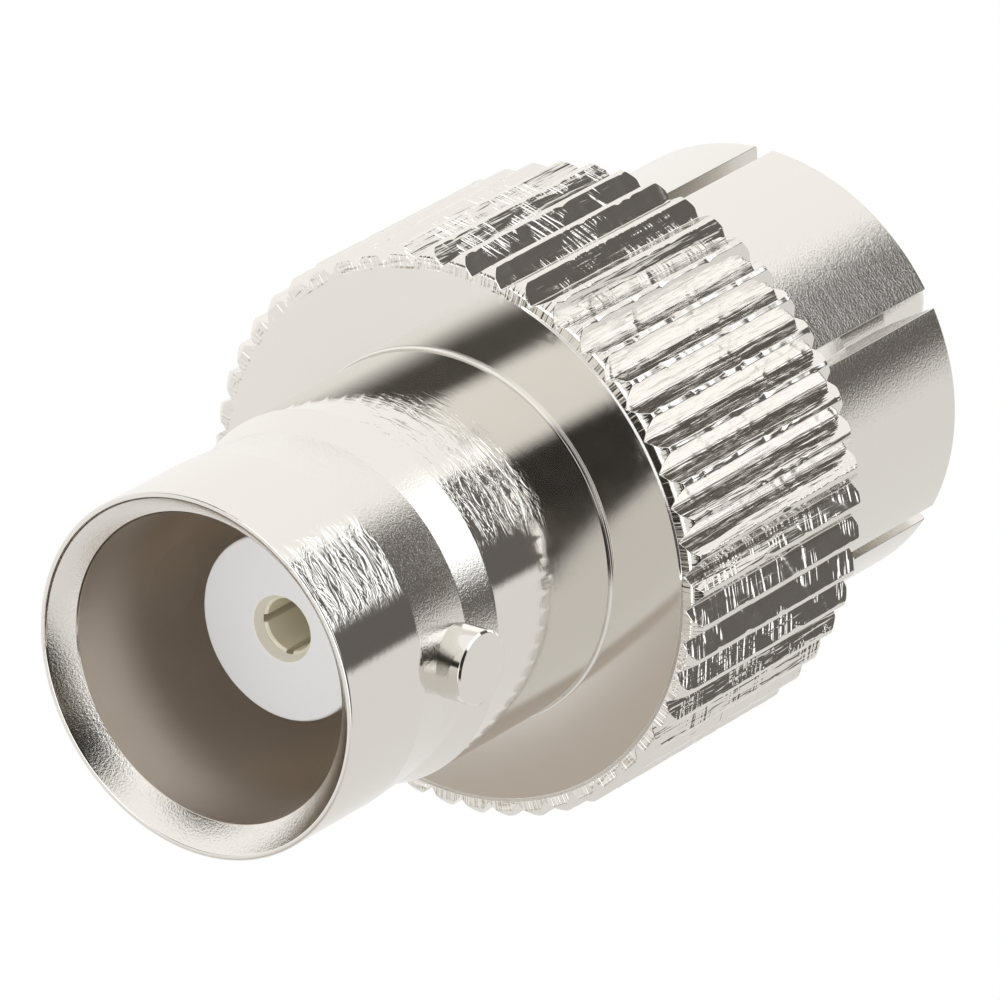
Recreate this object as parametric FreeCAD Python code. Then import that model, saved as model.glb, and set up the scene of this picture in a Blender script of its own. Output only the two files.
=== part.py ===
"""Coaxial adapter: a bayonet jack, a straight-knurled grip, and a phono plug with a slotted sleeve.

All sizes are millimetres and degrees. The axis is Z. The origin is the middle of the jack's rim, on
which the adapter stands with its mouth down, and +Z points towards the plug. The bayonet lugs lie on
the X axis. Each piece is one solid, written to parts/NAME.step.
"""
import FreeCAD, Part
import math
import os

from FreeCAD import Vector

# Outside of the jack, from the rim up to the grip
COLLAR_D = 9.7
COLLAR_LENGTH = 3.0
RIM_CHAMFER = 0.05
NECK_D = 9.44               # the narrow end of the neck, which tapers from the collar
NECK_LENGTH = 2.0
CONE_LENGTH = 0.95          # cone from the neck out to the shoulder
SHOULDER_D = 10.0           # also the shank inside the grip
SHOULDER_LENGTH = 4.8
SHANK_CHAMFER = 0.2

# Inside of the jack
MOUTH_BORE_D = 8.2
MOUTH_BEVEL_D = 9.42
MOUTH_BEVEL_DEPTH = 0.6
MOUTH_DEPTH = 8.4
WEB_THICKNESS = 1.5         # between the mouth's floor and the pocket for the flanges

# Bayonet lugs
LUG_D = 1.95
LUG_SPAN = 11.1             # over the ends of both lugs
LUG_HEIGHT = 4.5            # from the rim to the lugs' axis
LUG_CHAMFER = 0.06

# Grip
GRIP_D = 15.4
GRIP_LENGTH = 7.4
KNURL_COUNT = 50
KNURL_DEPTH = 0.43
KNURL_ANGLE = 90.0          # between the two flanks of a groove
KNURL_TURN = 2.2            # from the +X lug to the first groove
GRIP_CHAMFER_RISE = 0.22    # across
GRIP_CHAMFER_RUN = 0.25     # along the axis
GRIP_HOLE_CHAMFER = 0.05

# Slotted sleeve
SLEEVE_D = 12.08
SLEEVE_EXPOSED = 6.6        # beyond the grip
SLEEVE_SEAT_DEPTH = 3.15    # inside the grip, down to the shank's end
SLEEVE_DEPTH = 7.45         # from the open end to the floor
SLEEVE_BORE_D = 8.36        # grips the mating jack
SLEEVE_LEAD_IN = 0.4        # at the bore's open end
SLEEVE_END_CHAMFER = 0.1
SLOT_COUNT = 6
SLOT_WIDTH = 0.52
SLOT_LENGTH = 5.35          # along the outside
SLOT_ROOT_D = 7.56          # the diameter that the saw reaches down to, inside the bore
SLOT_SAW_D = 20.0
SLOT_TURN = 30.0            # from the +X lug to the first slot

# Insulators
NOSE_D = 4.95
NOSE_SETBACK = 3.6          # from the rim to the nose's face
NOSE_CHAMFER = 0.06
NOSE_HOLE_D = 1.52          # at the contact's mouth
NOSE_HOLE_FLARE = 0.13      # how much wider the hole's radius is at the nose's face
NOSE_LIP = 0.28             # thickness of insulator in front of the contact
FLANGE_D = 7.0
FRONT_FLANGE_THICKNESS = 2.55
REAR_STEM_D = 6.0           # the rear insulator in the sleeve's floor

# Centre contacts
SOCKET_D = 2.1
SOCKET_BORE_D = 1.4
SOCKET_BORE_DEPTH = 5.0
SOCKET_MOUTH_BEVEL = 0.06
SOCKET_SLOT_COUNT = 4
SOCKET_SLOT_WIDTH = 0.2
SOCKET_SLOT_LENGTH = 3.6
SOCKET_COLLAR_D = 3.0
SOCKET_COLLAR_THICKNESS = 0.8
PIN_D = 3.2
PIN_REACH = 6.35            # from the sleeve's open end to the pin's tip
PIN_TAPER_LENGTH = 3.1      # from the end of the straight shaft to the tip
PIN_NOSE_R = 1.26           # the round nose, which the taper runs into
PIN_FLAT_D = 0.7            # flat at the very tip
PIN_STEM_D = 2.4            # inside the rear insulator, which the shaft's shoulder seats on
SPIGOT_D = 0.9              # the pin's front end, in the contact's tail
SPIGOT_LENGTH = 1.6
SPIGOT_END_GAP = 0.2

# Radial clearance between a piece and the hole that it is pressed or slid into
SEAT_CLEARANCE = 0.01

# Heights above the rim that follow from the sizes above
CONE_BOTTOM = COLLAR_LENGTH + NECK_LENGTH
SHOULDER_BOTTOM = CONE_BOTTOM + CONE_LENGTH
GRIP_BOTTOM = SHOULDER_BOTTOM + SHOULDER_LENGTH
GRIP_TOP = GRIP_BOTTOM + GRIP_LENGTH
SLEEVE_BOTTOM = GRIP_TOP - SLEEVE_SEAT_DEPTH    # the shank and the rear flange end here too
SLEEVE_TOP = GRIP_TOP + SLEEVE_EXPOSED
SLEEVE_FLOOR = SLEEVE_TOP - SLEEVE_DEPTH
POCKET_BOTTOM = MOUTH_DEPTH + WEB_THICKNESS
FLANGES_MEET = POCKET_BOTTOM + FRONT_FLANGE_THICKNESS
SOCKET_BOTTOM = NOSE_SETBACK + NOSE_LIP
PIN_TOP = SLEEVE_TOP + PIN_REACH


def arc_middle(start, end, radius):
    """The middle of an arc of this radius that bends to the right of the way from start to end."""
    along_r = end[0] - start[0]
    along_z = end[1] - start[1]
    chord = math.hypot(along_r, along_z)
    rise = radius - math.sqrt(radius ** 2 - chord ** 2 / 4)
    middle_r = (start[0] + end[0]) / 2 + rise * along_z / chord
    middle_z = (start[1] + end[1]) / 2 - rise * along_r / chord
    return middle_r, middle_z


def touching_point(start, centre_z, radius):
    """Where a line from start, going up, touches the circle about the axis at centre_z."""
    out = start[0]
    along = start[1] - centre_z
    angle = math.atan2(along, out) + math.acos(radius / math.hypot(out, along))
    return radius * math.cos(angle), centre_z + radius * math.sin(angle)


def on_plane(point):
    """A (radius, height) point on the XZ plane."""
    return Vector(point[0], 0, point[1])


def turned(*outline):
    """A solid of revolution from a closed outline of (radius, height) points.

    A point may hold a third number, which makes the stretch that ends there an arc of that radius.
    """
    edges = []
    for index, point in enumerate(outline):
        start = outline[index - 1]
        if len(point) == 2:
            edges.append(Part.makeLine(on_plane(start), on_plane(point)))
        else:
            middle = arc_middle(start, point, point[2])
            edges.append(Part.Arc(on_plane(start), on_plane(middle), on_plane(point)).toShape())
    face = Part.Face(Part.Wire(edges))
    return face.revolve(Vector(0, 0, 0), Vector(0, 0, 1), 360)


def seat(diameter):
    """The diameter of a hole that a piece of this diameter sits in."""
    return diameter + 2 * SEAT_CLEARANCE


def ring_of(shape, count, first_angle):
    """Copies of a shape turned about the axis, evenly spaced."""
    copies = []
    for index in range(count):
        copy = shape.copy()
        copy.rotate(Vector(0, 0, 0), Vector(0, 0, 1), first_angle + index * 360.0 / count)
        copies.append(copy)
    return copies


def lug_bar(diameter, inner_end, outer_end):
    """A round bar along +X at the lugs' height, between two distances from the axis."""
    start = Vector(inner_end, 0, LUG_HEIGHT)
    return Part.makeCylinder(diameter / 2, outer_end - inner_end, start, Vector(1, 0, 0))


def make_jack_body():
    """The turned shell: collar, neck, cone, shoulder, and the shank inside the grip."""
    collar_r = COLLAR_D / 2
    shoulder_r = SHOULDER_D / 2
    bore_r = MOUTH_BORE_D / 2
    nose_hole_r = seat(NOSE_D) / 2
    pocket_r = seat(FLANGE_D) / 2
    shell = turned(
        (MOUTH_BEVEL_D / 2, 0),
        (collar_r - RIM_CHAMFER, 0),
        (collar_r, RIM_CHAMFER),
        (collar_r, COLLAR_LENGTH),
        (NECK_D / 2, CONE_BOTTOM),
        (shoulder_r, SHOULDER_BOTTOM),
        (shoulder_r, SLEEVE_BOTTOM - SHANK_CHAMFER),
        (shoulder_r - SHANK_CHAMFER, SLEEVE_BOTTOM),
        (pocket_r, SLEEVE_BOTTOM),
        (pocket_r, POCKET_BOTTOM),
        (nose_hole_r, POCKET_BOTTOM),
        (nose_hole_r, MOUTH_DEPTH),
        (bore_r, MOUTH_DEPTH),
        (bore_r, MOUTH_BEVEL_DEPTH),
    )
    return shell.cut(ring_of(lug_bar(seat(LUG_D), 0, LUG_SPAN), 2, 0))


def make_bayonet_lugs():
    """The two lug pins, each level with the mouth's bore at its flat inner end."""
    end = LUG_SPAN / 2
    radius = LUG_D / 2
    edge = Part.makeCone(radius, radius - LUG_CHAMFER, LUG_CHAMFER,
                         Vector(end - LUG_CHAMFER, 0, LUG_HEIGHT), Vector(1, 0, 0))
    pin = lug_bar(LUG_D, MOUTH_BORE_D / 2, end - LUG_CHAMFER).fuse(edge)
    return ring_of(pin, 2, 0)


def toothed_outline(land_r, height):
    """A level outline with one flat for each tooth of the knurl, and a corner at each groove."""
    corner_r = land_r / math.cos(math.pi / KNURL_COUNT)
    corners = []
    for index in range(KNURL_COUNT):
        angle = math.radians(KNURL_TURN) + index * 2 * math.pi / KNURL_COUNT
        corners.append(Vector(corner_r * math.cos(angle), corner_r * math.sin(angle), height))
    return Part.makePolygon(corners + corners[:1])


def knurl_groove():
    """One V-shaped cutter along the whole grip, at angle 0."""
    root = GRIP_D / 2 - KNURL_DEPTH
    outer = GRIP_D / 2 + KNURL_DEPTH
    half_width = (outer - root) * math.tan(math.radians(KNURL_ANGLE / 2))
    corners = [Vector(root, 0, 0), Vector(outer, -half_width, 0), Vector(outer, half_width, 0)]
    outline = Part.makePolygon(corners + corners[:1])
    outline.translate(Vector(0, 0, GRIP_BOTTOM - GRIP_CHAMFER_RUN))
    return Part.Face(outline).extrude(Vector(0, 0, GRIP_LENGTH + 2 * GRIP_CHAMFER_RUN))


def make_grip_body():
    """The straight-knurled grip, bored for the jack's shank and for the plug's sleeve."""
    land_r = GRIP_D / 2
    face_r = land_r - GRIP_CHAMFER_RISE
    shank_hole_r = seat(SHOULDER_D) / 2
    sleeve_hole_r = seat(SLEEVE_D) / 2
    outlines = [
        toothed_outline(face_r, GRIP_BOTTOM),
        toothed_outline(land_r, GRIP_BOTTOM + GRIP_CHAMFER_RUN),
        toothed_outline(land_r, GRIP_TOP - GRIP_CHAMFER_RUN),
        toothed_outline(face_r, GRIP_TOP),
    ]
    blank = Part.makeLoft(outlines, True, True)
    hole = turned(
        (0, GRIP_BOTTOM),
        (shank_hole_r + GRIP_HOLE_CHAMFER, GRIP_BOTTOM),
        (shank_hole_r, GRIP_BOTTOM + GRIP_HOLE_CHAMFER),
        (shank_hole_r, SLEEVE_BOTTOM),
        (sleeve_hole_r, SLEEVE_BOTTOM),
        (sleeve_hole_r, GRIP_TOP - GRIP_HOLE_CHAMFER),
        (sleeve_hole_r + GRIP_HOLE_CHAMFER, GRIP_TOP),
        (0, GRIP_TOP),
    )
    return blank.cut(ring_of(knurl_groove(), KNURL_COUNT, KNURL_TURN)).cut(hole)


def slot_cutter():
    """One saw cut along +X: straight from the open end, curving out where the round saw stopped."""
    saw_r = SLOT_SAW_D / 2
    root_r = SLOT_ROOT_D / 2
    depth = SLEEVE_D / 2 - root_r
    run_out = math.sqrt(saw_r ** 2 - (saw_r - depth) ** 2)
    stop = SLEEVE_TOP - SLOT_LENGTH + run_out
    half = SLOT_WIDTH / 2
    saw = Part.makeCylinder(saw_r, SLOT_WIDTH, Vector(root_r + saw_r, half, stop), Vector(0, -1, 0))
    straight = Part.makeBox(saw_r, SLOT_WIDTH, SLOT_LENGTH, Vector(root_r, -half, stop))
    return saw.fuse(straight)


def make_plug_sleeve():
    """The spring sleeve: a cup with six tines, and a floor that holds the rear insulator."""
    outer_r = SLEEVE_D / 2
    bore_r = SLEEVE_BORE_D / 2
    stem_hole_r = seat(REAR_STEM_D) / 2
    cup = turned(
        (stem_hole_r, SLEEVE_BOTTOM),
        (outer_r, SLEEVE_BOTTOM),
        (outer_r, SLEEVE_TOP - SLEEVE_END_CHAMFER),
        (outer_r - SLEEVE_END_CHAMFER, SLEEVE_TOP),
        (bore_r + SLEEVE_LEAD_IN, SLEEVE_TOP),
        (bore_r, SLEEVE_TOP - SLEEVE_LEAD_IN),
        (bore_r, SLEEVE_FLOOR),
        (stem_hole_r, SLEEVE_FLOOR),
    )
    return cup.cut(ring_of(slot_cutter(), SLOT_COUNT, SLOT_TURN))


def make_front_insulator():
    """The white insulator: its nose stands in the mouth, and its flange sits in the pocket."""
    nose_r = NOSE_D / 2
    hole_r = NOSE_HOLE_D / 2
    contact_r = seat(SOCKET_D) / 2
    collar_r = seat(SOCKET_COLLAR_D) / 2
    collar_bottom = FLANGES_MEET - SOCKET_COLLAR_THICKNESS
    return turned(
        (hole_r + NOSE_HOLE_FLARE, NOSE_SETBACK),
        (nose_r - NOSE_CHAMFER, NOSE_SETBACK),
        (nose_r, NOSE_SETBACK + NOSE_CHAMFER),
        (nose_r, POCKET_BOTTOM),
        (FLANGE_D / 2, POCKET_BOTTOM),
        (FLANGE_D / 2, FLANGES_MEET),
        (collar_r, FLANGES_MEET),
        (collar_r, collar_bottom),
        (contact_r, collar_bottom),
        (contact_r, SOCKET_BOTTOM),
        (hole_r, SOCKET_BOTTOM),
    )


def make_rear_insulator():
    """The insulator that centres the pin: a flange against the front one, and a stem in the sleeve."""
    stem_r = REAR_STEM_D / 2
    hole_r = seat(PIN_STEM_D) / 2
    return turned(
        (hole_r, FLANGES_MEET),
        (FLANGE_D / 2, FLANGES_MEET),
        (FLANGE_D / 2, SLEEVE_BOTTOM),
        (stem_r, SLEEVE_BOTTOM),
        (stem_r, SLEEVE_FLOOR),
        (hole_r, SLEEVE_FLOOR),
    )


def make_socket_contact():
    """The slotted female contact, with a collar against the front insulator's back."""
    outer_r = SOCKET_D / 2
    bore_r = SOCKET_BORE_D / 2
    collar_r = SOCKET_COLLAR_D / 2
    spigot_r = seat(SPIGOT_D) / 2
    collar_bottom = FLANGES_MEET - SOCKET_COLLAR_THICKNESS
    bore_top = SOCKET_BOTTOM + SOCKET_BORE_DEPTH
    spigot_hole_bottom = FLANGES_MEET - SPIGOT_LENGTH - SPIGOT_END_GAP
    body = turned(
        (bore_r + SOCKET_MOUTH_BEVEL, SOCKET_BOTTOM),
        (outer_r, SOCKET_BOTTOM),
        (outer_r, collar_bottom),
        (collar_r, collar_bottom),
        (collar_r, FLANGES_MEET),
        (spigot_r, FLANGES_MEET),
        (spigot_r, spigot_hole_bottom),
        (0, spigot_hole_bottom),
        (0, bore_top),
        (bore_r, bore_top),
        (bore_r, SOCKET_BOTTOM + SOCKET_MOUTH_BEVEL),
    )
    slot = Part.makeBox(SOCKET_D, SOCKET_SLOT_WIDTH, 2 * SOCKET_SLOT_LENGTH,
                        Vector(0, -SOCKET_SLOT_WIDTH / 2, SOCKET_BOTTOM - SOCKET_SLOT_LENGTH))
    return body.cut(ring_of(slot, SOCKET_SLOT_COUNT, 0))


def make_phono_pin():
    """The plug's centre pin: spigot, stem, shaft, gentle taper and round nose."""
    shaft_r = PIN_D / 2
    stem_r = PIN_STEM_D / 2
    flat_r = PIN_FLAT_D / 2
    spigot_bottom = FLANGES_MEET - SPIGOT_LENGTH
    shaft_end = (shaft_r, PIN_TOP - PIN_TAPER_LENGTH)
    nose_centre = PIN_TOP - math.sqrt(PIN_NOSE_R ** 2 - flat_r ** 2)
    return turned(
        (0, spigot_bottom),
        (SPIGOT_D / 2, spigot_bottom),
        (SPIGOT_D / 2, FLANGES_MEET),
        (stem_r, FLANGES_MEET),
        (stem_r, SLEEVE_FLOOR),
        (shaft_r, SLEEVE_FLOOR),
        shaft_end,
        touching_point(shaft_end, nose_centre, PIN_NOSE_R),
        (flat_r, PIN_TOP, PIN_NOSE_R),
        (0, PIN_TOP),
    )


def write(name, shape):
    """Write one piece as a single solid, and print its volume."""
    assert len(shape.Solids) == 1, name
    solid = shape.Solids[0]
    assert solid.isValid(), name
    solid.exportStep(os.path.join("parts", name + ".step"))
    print(name, "volume %.2f mm3" % solid.Volume)


def main():
    """Make every piece and write it."""
    os.makedirs("parts", exist_ok=True)
    write("jack_body", make_jack_body())
    for index, lug in enumerate(make_bayonet_lugs(), start=1):
        write("bayonet_lug_%d" % index, lug)
    write("grip_body", make_grip_body())
    write("plug_sleeve", make_plug_sleeve())
    write("front_insulator", make_front_insulator())
    write("rear_insulator", make_rear_insulator())
    write("socket_contact", make_socket_contact())
    write("phono_pin", make_phono_pin())


main()
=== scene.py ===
"""Looks of the coax adapter. Each CAD node is shown by a finer surface that is worked out here.

Lengths are millimetres and angles degrees, and MM turns lengths into the frame's metres. The axis is Z,
the jack's rim is at height 0, and the plug is above it. Heights and main radii come from the CAD nodes.
"""

import math
from typing import NamedTuple

import bmesh
import bpy
import numpy as np
from mathutils import Matrix, Vector


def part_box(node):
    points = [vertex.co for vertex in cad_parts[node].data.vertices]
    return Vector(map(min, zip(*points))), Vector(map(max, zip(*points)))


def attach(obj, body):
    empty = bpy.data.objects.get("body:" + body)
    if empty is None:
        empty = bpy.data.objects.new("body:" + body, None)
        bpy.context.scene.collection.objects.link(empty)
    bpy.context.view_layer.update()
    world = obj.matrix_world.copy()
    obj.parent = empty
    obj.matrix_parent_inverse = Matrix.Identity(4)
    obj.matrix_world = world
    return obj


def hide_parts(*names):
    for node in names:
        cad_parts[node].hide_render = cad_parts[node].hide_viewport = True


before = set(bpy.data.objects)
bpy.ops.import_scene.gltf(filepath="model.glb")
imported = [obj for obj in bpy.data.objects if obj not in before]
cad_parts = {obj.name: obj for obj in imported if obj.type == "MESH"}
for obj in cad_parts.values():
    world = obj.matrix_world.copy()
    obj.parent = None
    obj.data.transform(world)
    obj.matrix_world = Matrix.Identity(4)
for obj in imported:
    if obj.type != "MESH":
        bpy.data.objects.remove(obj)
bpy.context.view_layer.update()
MM = 0.001


def extent(node):
    """Widest radius, lowest and highest height of a node, in mm."""
    low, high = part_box(node)
    return round(high.x / MM, 3), round(low.z / MM, 3), round(high.z / MM, 3)


SHOULDER_R, RIM, SHANK_END = extent("jack_body")
GRIP_R, GRIP_FRONT, GRIP_BACK = extent("grip_body")
SLEEVE_R, SLEEVE_START, SLEEVE_END = extent("plug_sleeve")
FLANGE_R, NOSE_FACE, FLANGES_MEET = extent("front_insulator")
SLEEVE_FLOOR = extent("rear_insulator")[2]
CONTACT_COLLAR_R, CONTACT_MOUTH, CONTACT_TAIL = extent("socket_contact")
PIN_R, SPIGOT_START, PIN_TIP = extent("phono_pin")
LUG_REACH, LUG_BOTTOM, LUG_TOP = extent("bayonet_lug_1")

# Jack shell
COLLAR_R = 4.85
COLLAR_TOP = 3.0
NECK_R = 4.72
CONE_BOTTOM = 5.0
SHOULDER_BOTTOM = 5.95
MOUTH_R = 4.1
MOUTH_FLOOR = 8.4
BEVEL_R = 4.71
BEVEL_DEPTH = 0.6
BEVEL_RISE = 0.03           # how far the mouth's bevel bulges
NOSE_HOLE_R = 2.485
POCKET_R = 3.51
POCKET_BOTTOM = 9.9
SHANK_CHAMFER = 0.2
BEAD = 0.08                 # width of the bright ring where the shell enters the grip

# Lugs
LUG_CHAMFER = 0.06
LUG_PROUD = 0.006           # how far a lug's end stands inside the mouth's bore
LUG_STRAIGHT = 0.5          # outer length that the fit of the inner end to the bore leaves as it is
LUG_INNER_CHAMFER = 0.02

# Grip
TEETH = 50
FIRST_GROOVE = 2.2
GROOVE_ROOT_R = GRIP_R - 0.43
GROOVE_ROUND = 0.035
LAND_ROUND = 0.045
GRIP_END_RISE = 0.22
GRIP_END_RUN = 0.25
GRIP_END_CURVE = 1.3        # power that makes the end chamfer bulge a little
GRIP_END_ROUND = 0.04
FACE_RING = 0.85            # distance from the outside to the ring where the teeth's shape ends
SHANK_HOLE_R = 5.01
SLEEVE_HOLE_R = 6.05
HOLE_CHAMFER = 0.05

# Wear of the teeth's edges: slow waves, in radians for each mm, and small nicks
WAVES = 5
WAVE_RATES = (1.5, 9.0)
WAVE_DEPTH = 0.012
NICKS = 7
NICK_DEPTH = 0.05
NICK_WIDTHS = (0.06, 0.14)
ROOT_WEAR = 0.5             # wear of a groove's bottom, as a share of an edge's
WEAR_SEED = 11

# Sleeve
SLEEVE_BORE_R = 4.18
LEAD_IN = 0.4
STEM_R = 3.0
SLEEVE_SLOTS = 6
FIRST_SLOT = 30.0
SLOT_HALF = 0.26
SLOT_LENGTH = 5.35
SLOT_BEVEL = 0.025
SAW_R = 10.0
SAW_REACH_R = 3.78

# Contact
CONTACT_R = 1.05
CONTACT_BORE_R = 0.7
CONTACT_BORE_TOP = 8.88
CONTACT_EDGE = 0.06
CONTACT_SLOTS = 4
CONTACT_SLOT_TOP = 7.48
CONTACT_SLOT_HALF = 0.1
CONTACT_SLOT_BEVEL = 0.015
CONTACT_COLLAR_BOTTOM = 11.65
SPIGOT_R = 0.45

# Insulators and pin
NOSE_R = 2.475
LEAD_IN_R = 0.89            # the cone in the nose that leads a pin to the contact, at its mouth
LEAD_IN_END_R = 0.76
PIN_STEM_R = 1.2
PIN_TAPER_START = 28.0
PIN_NOSE_R = 1.26
PIN_FLAT_R = 0.35
PLAY = 0.01                 # room for each press fit

# Meshes
ROUND_STEPS = 4             # chords in a rounded corner
TURNS = 216                 # cells round a plain turned piece
LUG_TURNS = 96
SLOT_CELLS = 2
SLEEVE_TINE_CELLS = 30
CONTACT_TINE_CELLS = 20
GRIP_END_ROWS = (0, 0.006, 0.015, 0.03, 0.05, 0.1, 0.16, 0.2, 0.24, 0.28, 0.34, 0.42)
GRIP_PLAIN_FROM = 0.54
GRIP_PLAIN_ROWS = 52
SLOT_FLOOR_ROWS = 12
PIN_NOSE_ROWS = 16
SIDE_SHARE = 0.45           # how much of a side an arc may take up
SHARP_ANGLE = 38.0          # edges sharper than this are bevelled
MERGE_DISTANCE = 0.0002

# Directions: along the axis, and square to it towards the photo's camera, a quarter turn on from that,
# and towards the side where the bevel is flatter
UPWARD = (0.0, 0.0, 1.0)
FACING = (0.8090, -0.5878, 0.0)
BESIDE = (0.5878, 0.8090, 0.0)
FLAT_SIDE = (-0.358, -0.934, 0.0)

# Where the finish changes. Two numbers are where a ramp starts and ends, and four are a window: its
# ends and how soft each is
WALL_RADII = (NECK_R - 0.06, NECK_R)
COLLAR_HEIGHTS = (COLLAR_TOP - 0.05, COLLAR_TOP + 0.1)
NECK_HEIGHTS = (COLLAR_TOP, SHOULDER_BOTTOM, 0.1, 0.1)
SHOULDER_HEIGHTS = (SHOULDER_BOTTOM, 8.6, 0.05, 0.5)
SLEEVE_HEIGHTS = (GRIP_BACK, GRIP_BACK + 0.2)
BEVEL_HEIGHTS = (BEVEL_DEPTH - 0.05, BEVEL_DEPTH)
TEETH_RADII = (GROOVE_ROOT_R - 0.15, GROOVE_ROOT_R - 0.05)
BORE_RADII = (MOUTH_R + 0.01, MOUTH_R + 0.05)
BORE_START = (BEVEL_DEPTH - 0.04, BEVEL_DEPTH)
BORE_END = (MOUTH_FLOOR + 1, MOUTH_FLOOR + 1.5)
# where the painted cream highlight in the insulator's lead-in cone ends
PAINTED_SHEEN_RADII = (LEAD_IN_R + 0.01, LEAD_IN_R + 0.03)
WORN_SIDE = (-0.7, 0.13, 0.2, 0.08)     # sine of the turn from FACING
FLAT_SIDE_TURN = (0.1, 0.85)            # cosine of the turn from FLAT_SIDE
CUT_TURN = (0.82, 0.93)                 # cosine of the turn from FACING, where the cuts fade out
FRONT_TURN = (0.8, 0.93)                # the same cosine, where the teeth start to lean
CUT_PATCH_NOISE = (0.46, 0.56)

# Finish of the plate. A scale is in noise cells for each mm, or for each radian round the axis. A lean
# or tilt is a slope of the relief
PLATE_COLOUR = (0.79, 0.77, 0.735, 1)
BORE_COLOUR = (0.76, 0.69, 0.61, 1)
PLATE_ROUGHNESS = 0.05
KNURL_ROUGHNESS = 0.07
BORE_ROUGHNESS = 0.34       # added inside the mouth
CLOUD_ROUGHNESS = 0.05      # added in soft clouds
CLOUD = 1.3
STROKES = (5.5, 5.5, 3.4)
STROKE_DEPTH = 0.028
STROKE_SHARES = {"collar": 0.9, "shoulder": 1.0, "sleeve": 0.1, "everywhere": 0.08}
LEAST_WORN = 0.06
SPECKLE = 15.0
SPECKLE_DEPTH = 0.0075
SPECKLE_SHARES = {"neck": 1.1, "sleeve": 1.0, "bevel": 1.4, "everywhere": 0.06}
COLLAR_LEAN = 0.03
BEVEL_LEAN = 0.36
CUTS = (9.0, 9.0, 6.5)
CUT_DEPTH = 0.03
CUT_PATCH = 0.9
FRONT_CUTS = 0.05           # share of the cuts that is left where they fade out
TOOTH_LINES = (75.0, 75.0, 0.5)
TOOTH_LINE_DEPTH = 0.026
KNURL_LEAN = 0.06
FLANK_TILT = 0.18
FACE_DISH = 0.006
LUG_SPECKLE = 4.0
LUG_SPECKLE_DEPTH = 0.0008

# Insulator and contact
INSULATOR_COLOUR = (0.89, 0.90, 0.92, 1)
# painted highlight: the lead-in cone is given a brighter, creamier white than the plastic, for the light
# it catches inside the mouth
LEAD_IN_PAINTED_SHEEN_COLOUR = (1.0, 0.98, 0.90, 1)
INSULATOR_ROUGHNESS = 0.38
GOLD_COLOUR = (1.0, 0.96, 0.82, 1)
GOLD_METALLIC = 0.3
GOLD_ROUGHNESS = 0.42

# Camera
CAMERA_PLACE = (166.42, -121.14, -214.16)
CAMERA_RIGHT = (0.8090, 0.00998, 0.5877)
CAMERA_UP = (-0.22457, -0.91877, 0.3247)
CAMERA_BACK = (0.54323, -0.39468, -0.741)
LENS = 432.0
SENSOR = 36.0
NEAREST = 1.0
FARTHEST = 10000.0

# Studio. A place is a direction: its turn round the axis, from FACING towards BESIDE, and its rise,
# which is -1 straight under the mouth and 1 above the plug. Four numbers are a window, two are a ramp
TENT_COLOUR = (1.10, 1.085, 1.06, 1)
TENT_BESIDE_COLOUR = (0.83, 0.815, 0.795, 1)
TENT_BESIDE = (-0.7, 0.7)
CARD_COLOUR = (0.52, 0.465, 0.41, 1)
CARD_RISE = (-0.6, -0.5)
CARD_FACING = (-0.5, -0.4)
CARD_BESIDE = (0.01, 0.12)
KEY_COLOUR = (1.62, 1.63, 1.66, 1)
KEY_SKEW = (20.0, -14.8)    # how the key and the flag beside it lean: degrees for each rise, and at 0
KEY_TURN = (-38, 12, 5, 5)
KEY_RISE = (-0.15, 0.68, 0.1, 0.03)
FLAG_COLOUR = (0.14, 0.13, 0.12, 1)
TOP_FLAG_TURN = (-30, 40, 5, 3)
TOP_FLAG_RISE = (0.655, 0.715)
SIDE_FLAG_TURN = (12, 40, 5, 3)
SIDE_FLAG_RISE = (-0.3, -0.2)
LEFT_COLOUR = (0.09, 0.085, 0.075, 1)
LEFT_TURN = (-126, -78, 20, 7)
LEFT_RISE = (-0.86, -0.56, 0.04, 0.06)
LOW_COLOUR = (0.04, 0.037, 0.033, 1)
LOW_SKEW = (-250.0, -185.0)
LOW_TURN = (-24, 62, 6, 6)
LOW_RISE = (-0.9, -0.14, 0.03, 0.06)
LOW_SKEW_TURN = (33, 43)
MIDDLE_COLOUR = (0.42, 0.39, 0.32, 1)
MIDDLE_TURN = (14, 36, 4, 4)
MIDDLE_RISE = (-0.7, -0.57, 0.02, 0.02)
CAP_COLOUR = (1.9, 1.9, 1.9, 1)
CAP_RISE = (-0.93, -0.88)
BACKDROP_COLOUR = (1, 1, 1, 1)
FLOOR_COLOUR = (0.96, 0.96, 0.96, 1)
FLOOR_REACH = 300.0
FLOOR_DROP = 0.02
FLOOR_FADE = (20.0, 80.0)


def arcs(before, here, after, radius):
    """Points on the arcs that round corners. Corners are arrays of places (..., 2).

    An arc touches both sides at radius over the tangent of half the corner's angle, or nearer where a
    side is too short. Its points are a mix of its two ends about its middle, each weighed by the sine
    of its share of the sweep.
    """
    back = before - here
    ahead = after - here
    back_length = np.linalg.norm(back, axis=-1, keepdims=True)
    ahead_length = np.linalg.norm(ahead, axis=-1, keepdims=True)
    room = SIDE_SHARE * np.minimum(back_length, ahead_length)
    back = back / back_length
    ahead = ahead / ahead_length
    half = np.arccos(np.clip((back * ahead).sum(axis=-1, keepdims=True), -1, 1)) / 2
    reach = np.minimum(radius[..., None] / np.tan(half), room)
    held = reach * np.tan(half)
    bisector = back + ahead
    bisector /= np.linalg.norm(bisector, axis=-1, keepdims=True)
    middle = here + bisector * held / np.sin(half)
    start = (here + back * reach - middle)[..., None, :]
    end = (here + ahead * reach - middle)[..., None, :]
    sweep = (math.pi - 2 * half)[..., None, :]
    share = np.linspace(0, 1, ROUND_STEPS + 1)[:, None]
    arm = (np.sin((1 - share) * sweep) * start + np.sin(share * sweep) * end) / np.sin(sweep)
    return middle[..., None, :] + arm


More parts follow.
